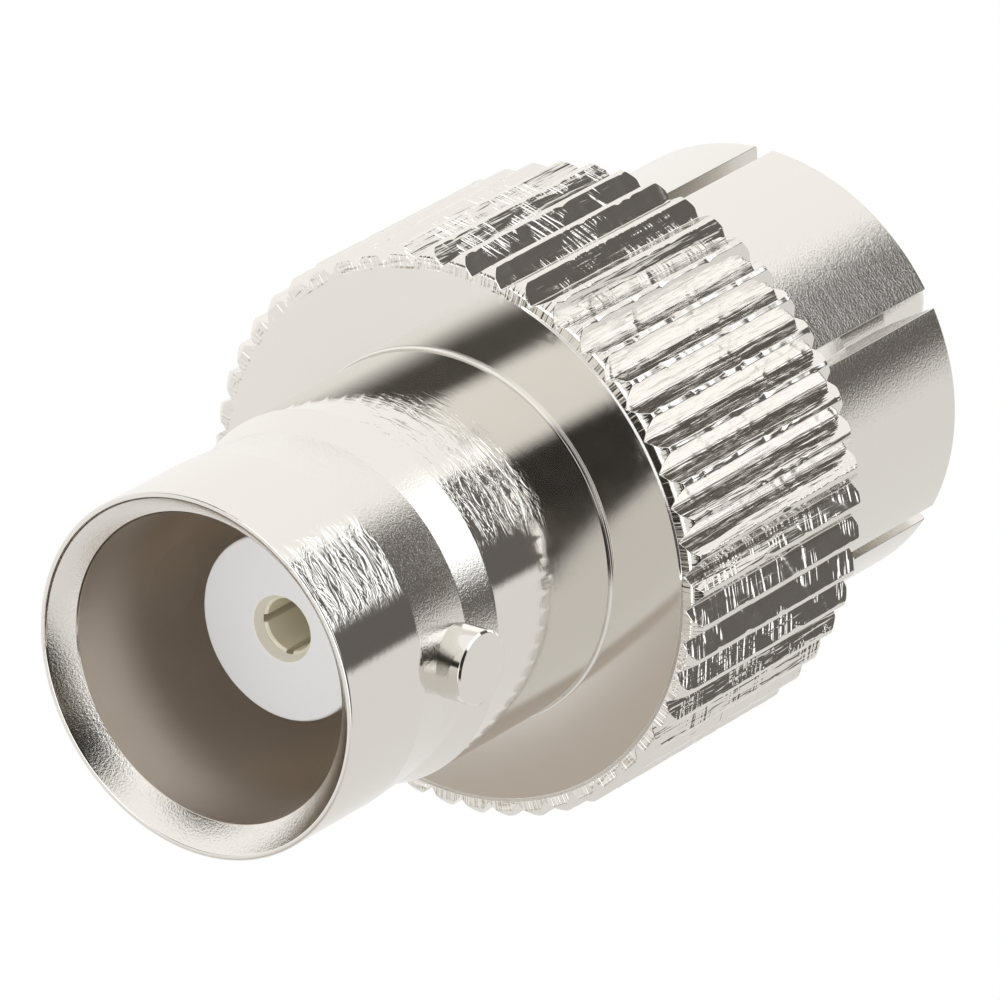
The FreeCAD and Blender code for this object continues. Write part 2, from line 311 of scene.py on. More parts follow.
def rounded(corners):
    """A closed outline with its corners rounded, from (across, along) or (across, along, radius)."""
    table = np.array([(*corner, 0.0)[:3] for corner in corners])
    here = table[:, :2]
    before = np.roll(here, 1, axis=0)
    after = np.roll(here, -1, axis=0)
    radius = table[:, 2]
    soft = radius > 0
    points = np.repeat(here[:, None], ROUND_STEPS + 1, axis=1)
    points[soft] = arcs(before[soft], here[soft], after[soft], radius[soft])
    first = np.arange(ROUND_STEPS + 1) == 0
    return points[soft[:, None] | first]


def bulged(start, end, rise, count=7):
    """Points between two others on a parabola that stands out by rise, to the right of the way.

    At the share s of the way it stands out by rise times 4 s (1 - s).
    """
    share = np.linspace(0, 1, count + 2)[1:-1, None]
    way = np.subtract(end, start)
    right = np.array([way[1], -way[0]]) / np.hypot(*way)
    points = np.array(start) + share * way + right * rise * 4 * share * (1 - share)
    return [tuple(point) for point in points]


def grid_faces(rows, columns):
    """Quads over a grid that closes on itself both ways."""
    row, column = np.meshgrid(np.arange(rows), np.arange(columns), indexing="ij")
    next_row = (row + 1) % rows
    next_column = (column + 1) % columns
    quads = np.stack([row * columns + column, next_row * columns + column,
                      next_row * columns + next_column, row * columns + next_column], axis=-1)
    return quads.reshape(-1, 4)


def area_normals(mesh):
    """Gives each vertex the mean of the normals round it, weighed by area, so flats stay flat."""
    count = len(mesh.polygons)
    normals = np.zeros(count * 3)
    areas = np.zeros(count)
    corners = np.zeros(count, int)
    mesh.polygons.foreach_get("normal", normals)
    mesh.polygons.foreach_get("area", areas)
    mesh.polygons.foreach_get("loop_total", corners)
    vertices = np.zeros(len(mesh.loops), int)
    mesh.loops.foreach_get("vertex_index", vertices)
    weighed = np.repeat(normals.reshape(-1, 3) * areas[:, None] / areas.mean(), corners, axis=0)
    summed = np.zeros((len(mesh.vertices), 3))
    np.add.at(summed, vertices, weighed)
    summed /= np.maximum(np.linalg.norm(summed, axis=1), 1e-12)[:, None]
    mesh.normals_split_custom_set_from_vertices(summed.tolist())


def add_piece(name, points, faces, node, material, bevel=0.0):
    """A closed mesh piece that stands for a CAD node, with its sharp edges bevelled if asked."""
    mesh = bpy.data.meshes.new(name)
    mesh.from_pydata((points * MM).tolist(), [], faces)
    work = bmesh.new()
    work.from_mesh(mesh)
    bmesh.ops.remove_doubles(work, verts=work.verts, dist=MERGE_DISTANCE * MM)
    bmesh.ops.recalc_face_normals(work, faces=work.faces)
    if bevel:
        limit = math.radians(SHARP_ANGLE)
        edges = [edge for edge in work.edges if edge.calc_face_angle(0) > limit]
        bmesh.ops.bevel(work, geom=edges, offset=bevel * MM, segments=2, profile=0.5,
                        affect="EDGES", clamp_overlap=True)
    work.to_mesh(mesh)
    work.free()
    mesh.validate()
    mesh.shade_smooth()
    area_normals(mesh)
    piece = bpy.data.objects.new(name, mesh)
    bpy.context.scene.collection.objects.link(piece)
    mesh.materials.append(material)
    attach(piece, "root")
    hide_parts(node)
    return piece


def turned_points(profile, angles):
    """Each profile point taken round the axis, to its radius times the cosine and sine of each angle.

    angles is one row, or a row for each profile point.
    """
    angles = np.broadcast_to(np.radians(angles), (len(profile), np.shape(angles)[-1]))
    radius = profile[:, :1]
    height = np.broadcast_to(profile[:, 1:], angles.shape)
    return np.stack([radius * np.cos(angles), radius * np.sin(angles), height], axis=-1).reshape(-1, 3)


def add_turned(name, corners, node, material):
    """A turned piece from a closed outline of (radius, height, rounding)."""
    profile = rounded(corners)
    points = turned_points(profile, np.arange(TURNS) * 360 / TURNS)
    return add_piece(name, points, grid_faces(len(profile), TURNS).tolist(), node, material)


class Slots(NamedTuple):
    """Saw slots in a tube. They cut its outline from the point start to the point end."""
    count: int
    first: float            # angle of the first slot's middle
    half_width: float
    tine_cells: int         # cells round the part between two slots
    start: tuple
    end: tuple
    floor: list             # the cut's floor between them, as (distance from the axis, height)


def slotted_angles(radii, slots):
    """Angles of a slotted tube's columns, one row for each radius: a slot's cells, then its tine's.

    A slot's edge on radius r lies at the angle whose sine is half_width over r, so its walls are flat.
    """
    pitch = 360 / slots.count
    half_angle = np.degrees(np.arcsin(slots.half_width / radii[:, None]))
    slot_part = half_angle * np.linspace(-1, 1, SLOT_CELLS + 1)[:-1]
    share = np.linspace(0, 1, slots.tine_cells + 1)[:-1]
    tine_part = half_angle + share * (pitch - 2 * half_angle)
    one = np.hstack([slot_part, tine_part])
    return np.hstack([slots.first + index * pitch + one for index in range(slots.count)])


def add_slotted(name, corners, slots, node, material, bevel):
    """A turned tube with saw slots: the cells inside a slot are left out between its start and end.

    The floor is a strip of quads, and each wall is one face that the floor's edge closes.
    """
    profile = rounded(corners)
    first_row = int(np.argmin(np.hypot(*(profile - slots.start).T)))
    last_row = int(np.argmin(np.hypot(*(profile - slots.end).T)))
    angles = slotted_angles(profile[:, 0], slots)
    columns = angles.shape[1]
    period = SLOT_CELLS + slots.tine_cells
    quads = grid_faces(len(profile), columns)
    row, column = np.divmod(np.arange(len(quads)), columns)
    cut = (column % period < SLOT_CELLS) & (row >= first_row) & (row < last_row)
    faces = quads[~cut].tolist()
    points = turned_points(profile, angles)
    floor = np.array(slots.floor, float).reshape(-1, 1, 2)
    sides = np.linspace(-slots.half_width, slots.half_width, SLOT_CELLS + 1)[:, None]
    for index in range(slots.count):
        turn = math.radians(slots.first + index * 360 / slots.count)
        outward = np.array([math.cos(turn), math.sin(turn), 0])
        sideways = np.array([-math.sin(turn), math.cos(turn), 0])
        added = floor[..., :1] * outward + sides * sideways + floor[..., 1:] * UPWARD
        added = added.reshape(-1, 3)
        floor_rows = len(points) + np.arange(len(added)).reshape(-1, SLOT_CELLS + 1)
        points = np.vstack([points, added])
        brink = index * period + np.arange(SLOT_CELLS + 1)
        rows = np.vstack([first_row * columns + brink, floor_rows, last_row * columns + brink])
        strip = np.stack([rows[:-1, :-1], rows[:-1, 1:], rows[1:, 1:], rows[1:, :-1]], axis=-1)
        faces += strip.reshape(-1, 4).tolist()
        for side in (0, SLOT_CELLS):
            edge = np.arange(first_row, last_row + 1) * columns + brink[side]
            faces.append(edge.tolist() + rows[-2:0:-1, side].tolist())
    return add_piece(name, points, faces, node, material, bevel)


def link(tree, source, target):
    """Sets an input socket from a number, a colour or another node's output."""
    if isinstance(source, bpy.types.NodeSocket):
        tree.links.new(source, target)
    else:
        target.default_value = source


def calc(tree, operation, *values):
    """A Math node."""
    node = tree.nodes.new("ShaderNodeMath")
    node.operation = operation
    for value, socket in zip(values, node.inputs):
        link(tree, value, socket)
    return node.outputs[0]


def total(tree, first, *others):
    """The sum of several values."""
    for other in others:
        first = calc(tree, "ADD", first, other)
    return first


def product(tree, first, *others):
    """The product of several values."""
    for other in others:
        first = calc(tree, "MULTIPLY", first, other)
    return first


def vector_calc(tree, operation, *values):
    """A Vector Math node."""
    node = tree.nodes.new("ShaderNodeVectorMath")
    node.operation = operation
    for value, socket in zip(values, node.inputs):
        link(tree, value, socket)
    return node


def stretched(tree, vector, scales):
    """A vector with each part multiplied by its own scale."""
    return vector_calc(tree, "MULTIPLY", vector, scales).outputs["Vector"]


def reach_along(tree, vector, axis):
    """How far a vector reaches along a fixed direction."""
    return vector_calc(tree, "DOT_PRODUCT", vector, axis).outputs["Value"]


def ramp(tree, value, low, high, at_low=0.0, at_high=1.0):
    """A smooth step of a value, from at_low to at_high."""
    node = tree.nodes.new("ShaderNodeMapRange")
    node.interpolation_type = "SMOOTHSTEP"
    for socket, given in zip(node.inputs, (value, low, high, at_low, at_high)):
        link(tree, given, socket)
    return node.outputs[0]


def fall(tree, value, low, high):
    """A smooth step down, from 1 to 0."""
    return ramp(tree, value, low, high, 1.0, 0.0)


def window(tree, value, low, high, soft_low, soft_high):
    """1 between low and high, with smooth edges, and 0 outside."""
    return product(tree, ramp(tree, value, low - soft_low, low + soft_low),
                   fall(tree, value, high - soft_high, high + soft_high))


def blend(tree, share, first, second):
    """A colour mix."""
    node = tree.nodes.new("ShaderNodeMix")
    node.data_type = "RGBA"
    link(tree, share, node.inputs["Factor"])
    link(tree, first, node.inputs["A"])
    link(tree, second, node.inputs["B"])
    return node.outputs["Result"]


def noise(tree, vector, scale, detail, roughness=0.5, distortion=0.0):
    """A noise texture's value. The scale is in cells for each unit of the vector."""
    node = tree.nodes.new("ShaderNodeTexNoise")
    link(tree, vector, node.inputs["Vector"])
    node.inputs["Scale"].default_value = scale
    node.inputs["Detail"].default_value = detail
    node.inputs["Roughness"].default_value = roughness
    node.inputs["Distortion"].default_value = distortion
    return node.outputs["Fac"]


def centred(tree, value):
    """A noise value about 0, so that fading it out leaves no step."""
    return calc(tree, "SUBTRACT", value, 0.5)


def shared(tree, shares, bands):
    """The sum of the bands' masks, each times its share."""
    return total(tree, *[product(tree, bands[name], share) for name, share in shares.items()])


def new_group(name, **kinds):
    """A shader node group with an output of each named kind, and its output node."""
    tree = bpy.data.node_groups.new(name, "ShaderNodeTree")
    for socket, kind in kinds.items():
        tree.interface.new_socket(socket, in_out="OUTPUT", socket_type="NodeSocket" + kind)
    return tree, tree.nodes.new("NodeGroupOutput")


def use_group(tree, group):
    """The outputs of a node that shows a group."""
    node = tree.nodes.new("ShaderNodeGroup")
    node.node_tree = group
    return node.outputs


def place_group():
    """Node group: position in mm, distance from the axis, height, and a vector for turning marks.

    The last, Lathe, holds the direction from the axis and the sum of height and distance, so that a
    noise on it changes slowly round the axis and fast across the marks.
    """
    tree, output = new_group("place on the adapter", Position="Vector", Radius="Float",
                             Height="Float", Lathe="Vector")
    source = tree.nodes.new("ShaderNodeTexCoord").outputs["Object"]
    position = stretched(tree, source, (1 / MM, 1 / MM, 1 / MM))
    flat = stretched(tree, position, (1, 1, 0))
    radius = vector_calc(tree, "LENGTH", flat).outputs["Value"]
    unit = vector_calc(tree, "NORMALIZE", flat).outputs["Vector"]
    height = reach_along(tree, position, UPWARD)
    lathe = tree.nodes.new("ShaderNodeCombineXYZ")
    link(tree, reach_along(tree, unit, (1, 0, 0)), lathe.inputs[0])
    link(tree, reach_along(tree, unit, (0, 1, 0)), lathe.inputs[1])
    link(tree, total(tree, height, radius), lathe.inputs[2])
    link(tree, position, output.inputs["Position"])
    link(tree, radius, output.inputs["Radius"])
    link(tree, height, output.inputs["Height"])
    link(tree, lathe.outputs[0], output.inputs["Lathe"])
    return tree


def turned_finish_group(place):
    """Node group: relief in mm of the turned parts, whose marks differ from band to band.

    The collar and the shoulder have broad turning strokes, worn in on one side only. The neck, the
    sleeve and the mouth's bevel have a fine speckle. The collar leans, as if it widened with its
    height, and the bevel is flatter on one side.
    """
    tree, output = new_group("turned finish", Relief="Float")
    here = use_group(tree, place)
    position = here["Position"]
    radius = here["Radius"]
    height = here["Height"]
    wall = ramp(tree, radius, *WALL_RADII)
    inner = calc(tree, "SUBTRACT", 1.0, wall)
    bands = {
        "collar": fall(tree, height, *COLLAR_HEIGHTS),
        "neck": product(tree, window(tree, height, *NECK_HEIGHTS), wall),
        "shoulder": window(tree, height, *SHOULDER_HEIGHTS),
        "sleeve": ramp(tree, height, *SLEEVE_HEIGHTS),
        "bevel": product(tree, inner, fall(tree, height, *BEVEL_HEIGHTS)),
        "everywhere": 1.0,
    }
    side = calc(tree, "DIVIDE", reach_along(tree, position, BESIDE), radius)
    worn = calc(tree, "MULTIPLY_ADD", window(tree, side, *WORN_SIDE), 1 - LEAST_WORN, LEAST_WORN)
    strokes = noise(tree, stretched(tree, here["Lathe"], STROKES), 1.0, 3.0, 0.6, distortion=0.8)
    strokes = centred(tree, strokes)
    strokes = product(tree, strokes, shared(tree, STROKE_SHARES, bands), wall, worn, STROKE_DEPTH)
    speckle = centred(tree, noise(tree, position, SPECKLE, 3.0, roughness=0.65))
    speckle = product(tree, speckle, shared(tree, SPECKLE_SHARES, bands), SPECKLE_DEPTH)
    widening = product(tree, calc(tree, "MINIMUM", height, COLLAR_TOP), COLLAR_LEAN)
    flat_side = calc(tree, "DIVIDE", reach_along(tree, position, FLAT_SIDE), radius)
    flat_share = ramp(tree, flat_side, *FLAT_SIDE_TURN)
    out = calc(tree, "SUBTRACT", radius, (MOUTH_R + BEVEL_R) / 2)
    flatter = product(tree, out, flat_share, bands["bevel"], -BEVEL_LEAN)
    link(tree, total(tree, strokes, speckle, widening, flatter), output.inputs["Relief"])
    return tree


def knurl_finish_group(place):
    """Node group: relief in mm of the grip.

    The teeth have lines along them, and cuts across them in patches, mostly away from FACING. Where
    they face that way they lean a little towards the jack, and their flanks are tilted. The grip's
    face is dished on one side.
    """
    tree, output = new_group("knurl finish", Relief="Float")
    here = use_group(tree, place)
    position = here["Position"]
    radius = here["Radius"]
    turn = calc(tree, "DIVIDE", reach_along(tree, position, FACING), radius)
    teeth = ramp(tree, radius, *TEETH_RADII)
    cuts = noise(tree, stretched(tree, here["Lathe"], CUTS), 1.0, 1.0, distortion=0.3)
    patches = ramp(tree, noise(tree, position, CUT_PATCH, 2.0), *CUT_PATCH_NOISE)
    sides = ramp(tree, turn, *CUT_TURN, 1.0, FRONT_CUTS)
    cuts = product(tree, centred(tree, cuts), patches, sides, CUT_DEPTH)
    lines = centred(tree, noise(tree, stretched(tree, here["Lathe"], TOOTH_LINES), 1.0, 2.0))
    lines = product(tree, lines, TOOTH_LINE_DEPTH)
    front_teeth = product(tree, ramp(tree, turn, *FRONT_TURN), teeth)
    along = calc(tree, "SUBTRACT", here["Height"], (GRIP_FRONT + GRIP_BACK) / 2)
    lean = product(tree, along, front_teeth, KNURL_LEAN)
    out = calc(tree, "SUBTRACT", radius, (GROOVE_ROOT_R + GRIP_R) / 2)
    tilt = product(tree, out, front_teeth, FLANK_TILT)
    low_side = calc(tree, "MAXIMUM", reach_along(tree, position, BESIDE), 0.0)
    dish = product(tree, low_side, low_side, calc(tree, "SUBTRACT", 1.0, teeth), -FACE_DISH)
    marks = product(tree, total(tree, cuts, lines), teeth)
    link(tree, total(tree, marks, lean, tilt, dish), output.inputs["Relief"])
    return tree


def lug_finish_group(place):
    """Node group: relief in mm of the lugs, which are nearly smooth."""
    tree, output = new_group("lug finish", Relief="Float")
    speckle = centred(tree, noise(tree, use_group(tree, place)["Position"], LUG_SPECKLE, 2.0))
    link(tree, product(tree, speckle, LUG_SPECKLE_DEPTH), output.inputs["Relief"])
    return tree


def new_material(name, slot):
    """A material with its shader, and the slot of the record that it belongs to."""
    material = bpy.data.materials.new(name)
    material.use_nodes = True
    material["slot"] = slot
    tree = material.node_tree
    return material, tree, tree.nodes["Principled BSDF"]


def bumped(tree, shader, relief):
    """Tilts the shader's normal by a relief in mm."""
    node = tree.nodes.new("ShaderNodeBump")
    node.inputs["Strength"].default_value = 1.0
    node.inputs["Distance"].default_value = MM
    link(tree, relief, node.inputs["Height"])
    link(tree, node.outputs[0], shader.inputs["Normal"])


def nickel_material(name, place, finish, roughness):
    """Bright nickel plate. The jack's bore is duller: inside the mouth's radius, above its bevel."""
    material, tree, shader = new_material(name, "nickel_plate")
    shader.inputs["Metallic"].default_value = 1.0
    here = use_group(tree, place)
    bore = product(tree, fall(tree, here["Radius"], *BORE_RADII),
                   ramp(tree, here["Height"], *BORE_START), fall(tree, here["Height"], *BORE_END))
    link(tree, blend(tree, bore, PLATE_COLOUR, BORE_COLOUR), shader.inputs["Base Color"])
    cloud = noise(tree, here["Position"], CLOUD, 2.0)
    duller = total(tree, product(tree, bore, BORE_ROUGHNESS), product(tree, cloud, CLOUD_ROUGHNESS))
    link(tree, total(tree, duller, roughness), shader.inputs["Roughness"])
    bumped(tree, shader, use_group(tree, finish)["Relief"])
    return material


def insulator_material(place):
    """Smooth white plastic, with a painted cream highlight in the lead-in to the contact."""
    material, tree, shader = new_material("white insulator", "white_insulator")
    # painted highlight: inside the lead-in's radius the plastic is brighter and creamier
    cone = fall(tree, use_group(tree, place)["Radius"], *PAINTED_SHEEN_RADII)
    link(tree, blend(tree, cone, INSULATOR_COLOUR, LEAD_IN_PAINTED_SHEEN_COLOUR), shader.inputs["Base Color"])
    shader.inputs["Roughness"].default_value = INSULATOR_ROUGHNESS
    return material


def gold_material():
    """Thin gold plate on the slotted contact."""
    material, _, shader = new_material("gold plate", "gold_contact")
    shader.inputs["Metallic"].default_value = GOLD_METALLIC
    shader.inputs["Base Color"].default_value = GOLD_COLOUR
    shader.inputs["Roughness"].default_value = GOLD_ROUGHNESS
    return material


def make_shell(material):
    """The jack: rim, collar, neck, cone, shoulder, and the shank inside the grip."""
    return add_turned("jack_shell", [
        (BEVEL_R, RIM, 0.03),
        (COLLAR_R, RIM, 0.05),
        (COLLAR_R, COLLAR_TOP, 0.1),
        (NECK_R, CONE_BOTTOM, 0.12),
        (SHOULDER_R, SHOULDER_BOTTOM, 0.12),
        (SHOULDER_R, GRIP_FRONT - 1.4 * BEAD),
        (SHOULDER_R + BEAD, GRIP_FRONT - 0.7 * BEAD, 0.05),
        (SHOULDER_R + BEAD, GRIP_FRONT + 0.4 * BEAD),
        (SHOULDER_R, GRIP_FRONT + BEAD),
        (SHOULDER_R, SHANK_END - SHANK_CHAMFER),
        (SHOULDER_R - SHANK_CHAMFER, SHANK_END),
        (POCKET_R, SHANK_END),
        (POCKET_R, POCKET_BOTTOM, 0.05),
        (NOSE_HOLE_R, POCKET_BOTTOM),
        (NOSE_HOLE_R, MOUTH_FLOOR),
        (MOUTH_R, MOUTH_FLOOR, 0.1),
        (MOUTH_R, BEVEL_DEPTH, 0.03),
    ] + bulged((MOUTH_R, BEVEL_DEPTH), (BEVEL_R, RIM), -BEVEL_RISE), "jack_body", material)


def make_lug(node, side, material):
    """A lug along X: a round bar with a rounded end, whose inner end follows the mouth's bore.

    A point that lies across from the lug's axis moves in by what the bore's circle falls short of
    inner there, times its share of the way from the straight outer part to the inner end.
    """
    radius = (LUG_TOP - LUG_BOTTOM) / 2
    height = (LUG_TOP + LUG_BOTTOM) / 2
    inner = MOUTH_R - LUG_PROUD
    profile = rounded([
        (0, LUG_REACH),
        (0, inner),
        (radius * 0.5, inner),
        (radius - LUG_INNER_CHAMFER, inner),
        (radius, inner + LUG_INNER_CHAMFER),
        (radius, LUG_REACH - LUG_CHAMFER, 0.03),
        (radius - LUG_CHAMFER, LUG_REACH, 0.03),
    ])
    turn = np.radians(np.arange(LUG_TURNS) * 360 / LUG_TURNS)
    across = profile[:, :1] * np.cos(turn)
    up = profile[:, :1] * np.sin(turn)
    along = profile[:, 1:]
    bore = np.sqrt(inner ** 2 - across ** 2)
    straight = LUG_REACH - LUG_STRAIGHT
    share = np.clip((straight - along) / (straight - inner), 0, 1)
    out = along + share * (bore - inner)
    points = np.stack([side * out, side * across, up + height], axis=-1).reshape(-1, 3)
    faces = grid_faces(len(profile), LUG_TURNS).tolist()
    return add_piece(node + "_pin", points, faces, node, material)


def edge_wear(rng, heights):
    """For each height and tooth, how far an edge is worn in.

    Slow waves are a mean of sines of the height, and each nick is a bell curve about its spot.
    """
    level = heights[None, :, None]
    phase = rng.uniform(0, 2 * math.pi, (TEETH, 1, WAVES))
    rate = rng.uniform(*WAVE_RATES, (TEETH, 1, WAVES))
    waves = np.sin(level * rate + phase).mean(axis=2) * WAVE_DEPTH
    spots = rng.uniform(GRIP_FRONT, GRIP_BACK, (TEETH, 1, NICKS))
    depth = rng.uniform(0.0, NICK_DEPTH, (TEETH, 1, NICKS))
    width = rng.uniform(*NICK_WIDTHS, (TEETH, 1, NICKS))
    nicks = (depth * np.exp(-((level - spots) / width) ** 2)).sum(axis=2)
    return (nicks + waves).T


def make_grip(material):
    """The knurled ring. At each height its section is a toothed outline with rounded corners.

    A flank of a groove at 45 degrees reaches radius R at the distance s from the root, where
    (root + s) squared plus s squared is R squared. Lands are lower in the end chamfers.
    """
    rng = np.random.default_rng(WEAR_SEED)
    length = GRIP_BACK - GRIP_FRONT
    near_end = np.array(GRIP_END_ROWS)
    plain = np.linspace(GRIP_PLAIN_FROM, length - GRIP_PLAIN_FROM, GRIP_PLAIN_ROWS)
    depths = np.concatenate([near_end, plain, length - near_end[::-1]])
    heights = GRIP_FRONT + depths
    left_wear = edge_wear(rng, heights)
    right_wear = edge_wear(rng, heights)
    root_wear = edge_wear(rng, heights) * ROOT_WEAR

    from_end = np.minimum(depths, length - depths)[:, None]
    slope = np.clip(1 - from_end / GRIP_END_RUN, 0, 1) ** GRIP_END_CURVE
    edge = np.clip(GRIP_END_ROUND - from_end, 0, GRIP_END_ROUND)
    end_round = GRIP_END_ROUND - np.sqrt(GRIP_END_ROUND ** 2 - edge ** 2)
    land = GRIP_R - GRIP_END_RISE * slope - end_round
    pitch = 2 * math.pi / TEETH
    groove = np.broadcast_to(math.radians(FIRST_GROOVE) + np.arange(TEETH) * pitch, root_wear.shape)
    radii = [GROOVE_ROOT_R + root_wear - end_round]
    angles = [groove]
    for wear, base, side in ((left_wear, groove, 1), (right_wear, groove + pitch, -1)):
        top = land - np.maximum(wear, 0)
        rise = (np.sqrt(2 * top ** 2 - GROOVE_ROOT_R ** 2) - GROOVE_ROOT_R) / 2
        radii.append(top)
        angles.append(base + side * np.arctan2(rise, GROOVE_ROOT_R + rise))
    radii = np.stack(radii, axis=-1)
    angles = np.stack(angles, axis=-1)
    corners = np.stack([radii * np.cos(angles), radii * np.sin(angles)], axis=-1)
    corners = corners.reshape(len(heights), -1, 2)
    rounding = np.tile([GROOVE_ROUND, LAND_ROUND, LAND_ROUND], TEETH)
    sections = arcs(np.roll(corners, 1, axis=1), corners, np.roll(corners, -1, axis=1), rounding)
    sections = sections.reshape(len(heights), -1, 2)

    columns = sections.shape[1]
    level = np.broadcast_to(heights[:, None, None], (len(heights), columns, 1))
    outside = np.concatenate([sections, level], axis=-1).reshape(-1, 3)
    turns = np.degrees(np.arctan2(outside[:columns, 1], outside[:columns, 0]))
    inside = np.array([
        (GRIP_R - FACE_RING, GRIP_BACK),
        (SLEEVE_HOLE_R + HOLE_CHAMFER, GRIP_BACK),
        (SLEEVE_HOLE_R, GRIP_BACK - HOLE_CHAMFER),
        (SLEEVE_HOLE_R, SHANK_END),
        (SHANK_HOLE_R, SHANK_END),
        (SHANK_HOLE_R, GRIP_FRONT + HOLE_CHAMFER),
        (SHANK_HOLE_R + HOLE_CHAMFER, GRIP_FRONT),
        (GRIP_R - FACE_RING, GRIP_FRONT),
    ])
    points = np.vstack([outside, turned_points(inside, turns)])
    faces = grid_faces(len(heights) + len(inside), columns).tolist()
    return add_piece("knurled_grip", points, faces, "grip_body", material)


def make_sleeve(material):
    """The spring sleeve. A slot's floor follows the round saw that cut it."""
    run_out = math.sqrt(SAW_R ** 2 - (SAW_R - (SLEEVE_R - SAW_REACH_R)) ** 2)
    saw_height = SLEEVE_END - SLOT_LENGTH + run_out

    def saw_floor(distance):
        """Height of the saw's lowest point at a distance from the adapter's axis."""
        return saw_height - math.sqrt(SAW_R ** 2 - (SAW_REACH_R + SAW_R - distance) ** 2)

    outer = math.sqrt(SLEEVE_R ** 2 - SLOT_HALF ** 2)
    inner = math.sqrt(SLEEVE_BORE_R ** 2 - SLOT_HALF ** 2)
    start = (SLEEVE_R, saw_floor(outer))
    end = (SLEEVE_BORE_R, saw_floor(inner))
    distances = np.linspace(outer, inner, SLOT_FLOOR_ROWS + 2)[1:-1]
    floor = [(distance, saw_floor(distance)) for distance in distances]
    slots = Slots(SLEEVE_SLOTS, FIRST_SLOT, SLOT_HALF, SLEEVE_TINE_CELLS, start, end, floor)
    return add_slotted("spring_sleeve", [
        (SLEEVE_R, SLEEVE_START, 0.05),
        start,
        (SLEEVE_R, SLEEVE_END, 0.12),
        (SLEEVE_BORE_R + LEAD_IN, SLEEVE_END, 0.08),
        (SLEEVE_BORE_R, SLEEVE_END - LEAD_IN, 0.2),
        end,
        (SLEEVE_BORE_R, SLEEVE_FLOOR, 0.1),
        (STEM_R + PLAY, SLEEVE_FLOOR, 0.03),
        (STEM_R + PLAY, SLEEVE_START),
    ], slots, "plug_sleeve", material, SLOT_BEVEL)


def make_contact(material):
    """The slotted female contact. Its slots end square."""
    start = (CONTACT_R, CONTACT_SLOT_TOP)
    end = (CONTACT_BORE_R, CONTACT_SLOT_TOP)
    slots = Slots(CONTACT_SLOTS, 0.0, CONTACT_SLOT_HALF, CONTACT_TINE_CELLS, start, end, [])
    return add_slotted("slotted_contact", [
        (SPIGOT_R + PLAY, CONTACT_TAIL),
        (CONTACT_COLLAR_R, CONTACT_TAIL),
        (CONTACT_COLLAR_R, CONTACT_COLLAR_BOTTOM, 0.05),
        (CONTACT_R, CONTACT_COLLAR_BOTTOM),
        start,
        (CONTACT_R, CONTACT_MOUTH, 0.06),
        (CONTACT_BORE_R + CONTACT_EDGE, CONTACT_MOUTH, 0.03),
        (CONTACT_BORE_R, CONTACT_MOUTH + CONTACT_EDGE, 0.03),
        end,
        (CONTACT_BORE_R, CONTACT_BORE_TOP, 0.05),
        (SPIGOT_R + PLAY, CONTACT_BORE_TOP),
    ], slots, "socket_contact", material, CONTACT_SLOT_BEVEL)


def make_front_insulator(material):
    """The white insulator whose nose shows in the mouth."""
    return add_turned("insulator_front", [
        (LEAD_IN_R, NOSE_FACE, 0.03),
        (NOSE_R, NOSE_FACE, 0.08),
        (NOSE_R, POCKET_BOTTOM),
        (FLANGE_R, POCKET_BOTTOM),
        (FLANGE_R, FLANGES_MEET),
        (CONTACT_COLLAR_R + PLAY, FLANGES_MEET),
        (CONTACT_COLLAR_R + PLAY, CONTACT_COLLAR_BOTTOM),
        (CONTACT_R + PLAY, CONTACT_COLLAR_BOTTOM),
        (CONTACT_R + PLAY, CONTACT_MOUTH),
        (LEAD_IN_END_R, CONTACT_MOUTH, 0.02),
    ], "front_insulator", material)


def make_rear_insulator(material):
    """The insulator that centres the pin."""
    return add_turned("insulator_rear", [
        (PIN_STEM_R + PLAY, FLANGES_MEET),
        (FLANGE_R, FLANGES_MEET),
        (FLANGE_R, SHANK_END),
        (STEM_R, SHANK_END),
        (STEM_R, SLEEVE_FLOOR, 0.04),
        (PIN_STEM_R + PLAY, SLEEVE_FLOOR),
    ], "rear_insulator", material)


def make_pin(material):
    """The plug's pin. Its nose is a ball that the taper touches, with a small flat."""
    centre = PIN_TIP - math.sqrt(PIN_NOSE_R ** 2 - PIN_FLAT_R ** 2)
    along = PIN_TAPER_START - centre
    touch = math.atan2(along, PIN_R) + math.acos(PIN_NOSE_R / math.hypot(PIN_R, along))
    flat = math.acos(PIN_FLAT_R / PIN_NOSE_R)
    nose = [(PIN_NOSE_R * math.cos(angle), centre + PIN_NOSE_R * math.sin(angle))
            for angle in np.linspace(touch, flat, PIN_NOSE_ROWS)]
    return add_turned("pin_of_plug", [
        (0, SPIGOT_START),
        (SPIGOT_R, SPIGOT_START, 0.05),
        (SPIGOT_R, FLANGES_MEET),
        (PIN_STEM_R, FLANGES_MEET),
        (PIN_STEM_R, SLEEVE_FLOOR),
        (PIN_R, SLEEVE_FLOOR, 0.05),
        (PIN_R, PIN_TAPER_START, 0.6),
    ] + nose + [(0, PIN_TIP)], "phono_pin", material)


def make_camera():
    """The photo's camera, below the rim and to one side."""
    data = bpy.data.cameras.new("camera")
    data.lens = LENS
    data.sensor_width = SENSOR
    data.clip_start = NEAREST * MM
    data.clip_end = FARTHEST * MM
    camera = bpy.data.objects.new("camera", data)
    bpy.context.scene.collection.objects.link(camera)
    axes = Matrix((CAMERA_RIGHT, CAMERA_UP, CAMERA_BACK)).transposed()
    camera.matrix_world = Matrix.Translation(Vector(CAMERA_PLACE) * MM) @ axes.to_4x4()
    bpy.context.scene.camera = camera


